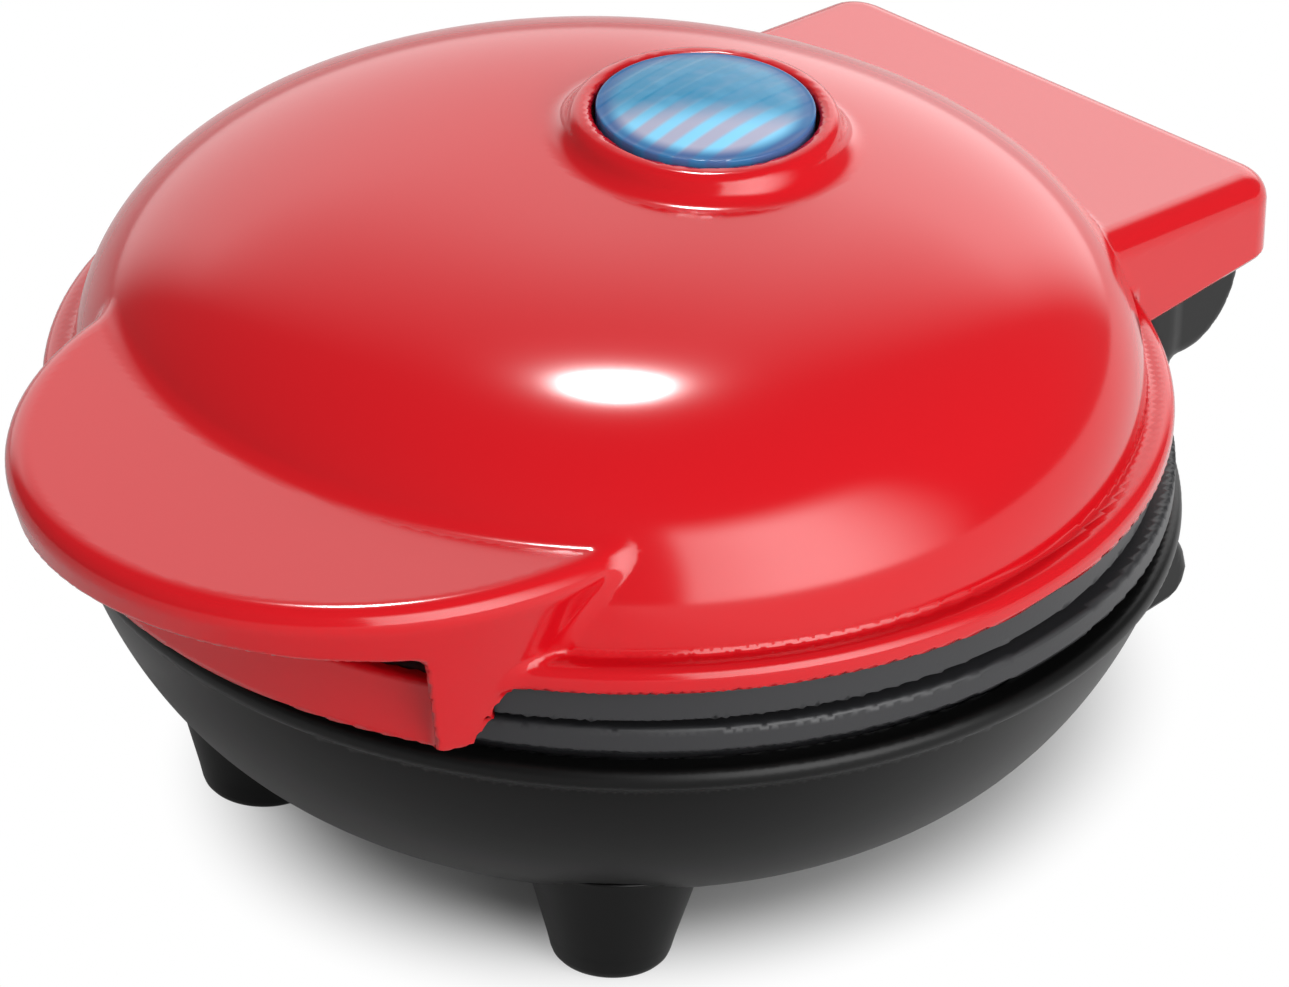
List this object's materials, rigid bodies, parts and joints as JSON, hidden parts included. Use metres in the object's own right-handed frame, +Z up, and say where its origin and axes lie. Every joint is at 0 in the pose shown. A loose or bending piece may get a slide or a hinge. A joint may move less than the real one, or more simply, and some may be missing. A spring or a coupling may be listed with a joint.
{
  "type": "mini waffle maker",
  "caption": "Round mini waffle maker with a hinged domed lid, front finger grip, indicator lens and a rounded base on stub feet and a rear stand.",
  "frame": {"origin": "on the table below the axis of the dome, within 1 mm of the middle of the bounding box; front feet and rear pads touch z = 0", "axes": "+Z up, -Y towards the front grip, +Y towards the hinge, +X to the right seen from the front"},
  "size_m": [0.127, 0.1667, 0.0813],
  "materials": {
    "lid_shell": "polished red moulding",
    "indicator_lens": "clear blue moulding",
    "lamp_holder": "plain",
    "indicator_lamp": "clear",
    "waffle_plate": "dark non-stick coating",
    "heater_tube": "satin",
    "ceramic": "unglazed",
    "sheet_metal": "mill",
    "screws": "zinc",
    "base_shell": "satin black moulding",
    "terminal_block": "plain",
    "feet": "satin black moulding",
    "pads": "matte",
    "pins": "bright",
    "cord_inlet": "matte",
    "leads": "braided sleeve"
  },
  "bodies": {
    "base": {"base_shell": "base_shell", "lower_waffle_plate": "waffle_plate", "lower_heating_element": "heater_tube", "lower_element_terminals": "ceramic", "lower_heat_shield": "sheet_metal", "lower_plate_screws": "screws", "thermostat": "ceramic", "thermostat_clip": "sheet_metal", "thermal_fuse": "heater_tube", "terminal_block": "terminal_block", "front_foot_left": "feet", "front_foot_right": "feet", "rear_pads": "pads", "hinge_pin_left": "pins", "hinge_pin_right": "pins", "cord_inlet": "cord_inlet", "base_leads": "leads"},
    "lid": {"lid_shell": "lid_shell", "indicator_lens": "indicator_lens", "lamp_holder": "lamp_holder", "indicator_lamp": "indicator_lamp", "upper_waffle_plate": "waffle_plate", "upper_heating_element": "heater_tube", "upper_element_terminals": "ceramic", "upper_heat_shield": "sheet_metal", "upper_plate_screws": "screws", "lid_leads": "leads"}
  },
  "joints": [
    {"name": "lid_hinge", "type": "hinge", "parent": "base", "child": "lid", "pos_m": [0, 0.0698, 0.0455], "axis": [-1, 0, 0], "range_deg": [0, 100]}
  ]
}
